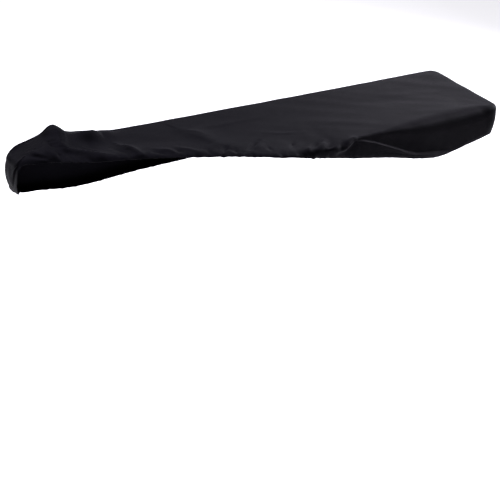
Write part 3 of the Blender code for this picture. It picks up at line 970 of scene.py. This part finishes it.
def black_polyester_weave():
    """Plain-woven filament polyester, dyed black: smooth flat threads, cool sheen, tiny crumples."""
    material = bpy.data.materials.new("black_polyester_plain_weave")
    material.use_nodes = True
    tree = material.node_tree
    shader = tree.nodes["Principled BSDF"]
    flat = add_node(tree, "ShaderNodeUVMap", {"uv_map": "flat_cloth"}).outputs["UV"]
    place = add_node(tree, "ShaderNodeTexCoord").outputs["Object"]
    threads = add_node(tree, "ShaderNodeVectorMath", {"operation": "SCALE"},
                       {0: flat, "Scale": 2 * math.pi / THREAD_SPACING})
    split = add_node(tree, "ShaderNodeSeparateXYZ", inputs={0: threads.outputs[0]})
    warp = add_node(tree, "ShaderNodeMath", {"operation": "SINE"}, {0: split.outputs["X"]})
    weft = add_node(tree, "ShaderNodeMath", {"operation": "SINE"}, {0: split.outputs["Y"]})
    weave = add_node(tree, "ShaderNodeMath", {"operation": "MULTIPLY"},
                     {0: warp.outputs[0], 1: weft.outputs[0]})
    crumple = add_node(tree, "ShaderNodeTexNoise",
                       inputs={"Vector": place, "Scale": 1 / CRUMPLE, "Detail": 3.0})
    patches = add_node(tree, "ShaderNodeTexNoise",
                       inputs={"Vector": place, "Scale": 1 / SHADE_PATCH, "Detail": 2.0})
    colour = add_node(tree, "ShaderNodeMix", {"data_type": "RGBA"}, {0: patches.outputs["Fac"]})
    colour.inputs[6].default_value = linear(CLOTH_DARK)
    colour.inputs[7].default_value = linear(CLOTH_PALE)
    gloss = add_node(tree, "ShaderNodeMapRange",
                     inputs={0: patches.outputs["Fac"], "To Min": ROUGHNESS_LEAST, "To Max": ROUGHNESS_MOST})
    soft = add_node(tree, "ShaderNodeBump",
                    inputs={"Height": crumple.outputs["Fac"], "Strength": CRUMPLE_BUMP,
                            "Distance": CRUMPLE_HEIGHT})
    fine = add_node(tree, "ShaderNodeBump",
                    inputs={"Height": weave.outputs[0], "Strength": THREAD_BUMP,
                            "Distance": THREAD_HEIGHT, "Normal": soft.outputs[0]})
    tree.links.new(colour.outputs[2], shader.inputs["Base Color"])
    tree.links.new(gloss.outputs[0], shader.inputs["Roughness"])
    tree.links.new(fine.outputs[0], shader.inputs["Normal"])
    shader.inputs["IOR"].default_value = FIBRE_IOR
    shader.inputs["Specular IOR Level"].default_value = GLOSS_LEVEL
    shader.inputs["Sheen Weight"].default_value = SHEEN_WEIGHT
    shader.inputs["Sheen Roughness"].default_value = SHEEN_ROUGHNESS
    shader.inputs["Specular Tint"].default_value = linear(GLOSS_TINT)
    shader.inputs["Sheen Tint"].default_value = linear(SHEEN_TINT)
    return material


cover.data.materials.clear()
cover.data.materials.append(black_polyester_weave())
print("finish", cover.data.materials[0].name)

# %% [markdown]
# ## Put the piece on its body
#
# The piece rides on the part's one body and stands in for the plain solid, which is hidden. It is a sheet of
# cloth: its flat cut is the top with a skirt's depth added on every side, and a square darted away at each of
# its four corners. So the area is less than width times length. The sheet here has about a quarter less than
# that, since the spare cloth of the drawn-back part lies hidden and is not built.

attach(cover, "root")
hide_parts("cover_cloth")
print("declared", cover.name)

# %% [markdown]
# ## Floor and light
#
# The cover hangs where it is used, at about table height, so the plain floor lies well below it. The floor
# glows faintly, which keeps it evenly pale. A large soft light stands behind and to the right, low enough for
# the top to mirror it towards the camera. That gives the top its cool sheen, stronger to the right. A smaller
# light stands nearly in line with the front wall. It grazes the wall, and catches what stands out of it.
# A lamp above lights the top evenly, and a weak one behind on the left lights the round end.

# %% Floor
FLOOR_Z = -0.85
FLOOR_SIZE = 16.0
FLOOR_COLOUR = "#F4F4F4"
FLOOR_ROUGHNESS = 0.9
FLOOR_GLOW = 0.45


def pale_floor():
    """A plain pale floor that glows faintly."""
    bpy.ops.object.select_all(action="DESELECT")
    bpy.ops.mesh.primitive_plane_add(size=FLOOR_SIZE, location=(0.0, 0.0, FLOOR_Z))
    floor = bpy.context.object
    floor.name = "floor"
    material = bpy.data.materials.new("pale_floor_paint")
    material.use_nodes = True
    shader = material.node_tree.nodes["Principled BSDF"]
    shader.inputs["Base Color"].default_value = linear(FLOOR_COLOUR)
    shader.inputs["Roughness"].default_value = FLOOR_ROUGHNESS
    shader.inputs["Emission Color"].default_value = linear(FLOOR_COLOUR)
    shader.inputs["Emission Strength"].default_value = FLOOR_GLOW
    floor.data.materials.append(material)
    return floor


floor = pale_floor()
print("floor at", FLOOR_Z)

# %% Soft studio light
Light = namedtuple("Light", "name place target size watts")
LIGHTS = (
    Light("back window", (2.7, 1.7, 1.25), (0.3, 0.0, 0.0), 2.0, 35.0),
    Light("side window", (3.0, -0.10, 0.80), (0.2, -0.15, -0.05), 0.7, 110.0),
    Light("ceiling", (-0.4, 0.8, 3.0), (0.0, 0.0, 0.0), 2.5, 155.0),
    Light("left window", (-1.3, 2.0, 1.6), (-0.6, 0.1, 0.0), 1.0, 25.0),
)
LIGHT_COLOUR = "#F8F6FF"
ROOM_COLOUR = "#F6F7FA"
BRIGHT_SIDE = (0.75, 0.50, 0.42)
FACING_START = 0.40
FACING_END = 1.00
DIM_STRENGTH = 0.08
BRIGHT_STRENGTH = 1.15
SEEN_STRENGTH = 1.10


def soft_light(row):
    """A large square light that the camera itself does not see."""
    data = bpy.data.lights.new(row.name, "AREA")
    data.energy = row.watts
    data.color = linear(LIGHT_COLOUR)[:3]
    data.size = row.size
    lamp = bpy.data.objects.new(row.name, data)
    bpy.context.scene.collection.objects.link(lamp)
    lamp.location = row.place
    lamp.rotation_euler = (Vector(row.target) - Vector(row.place)).to_track_quat("-Z", "Y").to_euler()
    lamp.visible_camera = False
    return lamp


def pale_room():
    """A pale room that sends more light from behind the cover, and looks evenly pale itself."""
    world = bpy.data.worlds.new("room")
    world.use_nodes = True
    tree = world.node_tree
    direction = add_node(tree, "ShaderNodeTexCoord").outputs["Generated"]
    facing = add_node(tree, "ShaderNodeVectorMath", {"operation": "DOT_PRODUCT"},
                      {0: direction, 1: BRIGHT_SIDE})
    strength = add_node(tree, "ShaderNodeMapRange", {"interpolation_type": "SMOOTHSTEP"},
                        {0: facing.outputs["Value"], 1: FACING_START, 2: FACING_END,
                         3: DIM_STRENGTH, 4: BRIGHT_STRENGTH})
    seen = add_node(tree, "ShaderNodeLightPath").outputs["Is Camera Ray"]
    shown = add_node(tree, "ShaderNodeMix", {"data_type": "FLOAT"},
                     {0: seen, 2: strength.outputs[0], 3: SEEN_STRENGTH})
    colour = add_node(tree, "ShaderNodeMix", {"data_type": "RGBA"}, {0: seen})
    colour.inputs[6].default_value = linear(LIGHT_COLOUR)
    colour.inputs[7].default_value = linear(ROOM_COLOUR)
    background = tree.nodes["Background"]
    tree.links.new(colour.outputs[2], background.inputs["Color"])
    tree.links.new(shown.outputs[0], background.inputs["Strength"])
    bpy.context.scene.world = world


for row in LIGHTS:
    soft_light(row)
pale_room()
bpy.context.scene.view_settings.view_transform = "Standard"
print(len(LIGHTS), "lights")
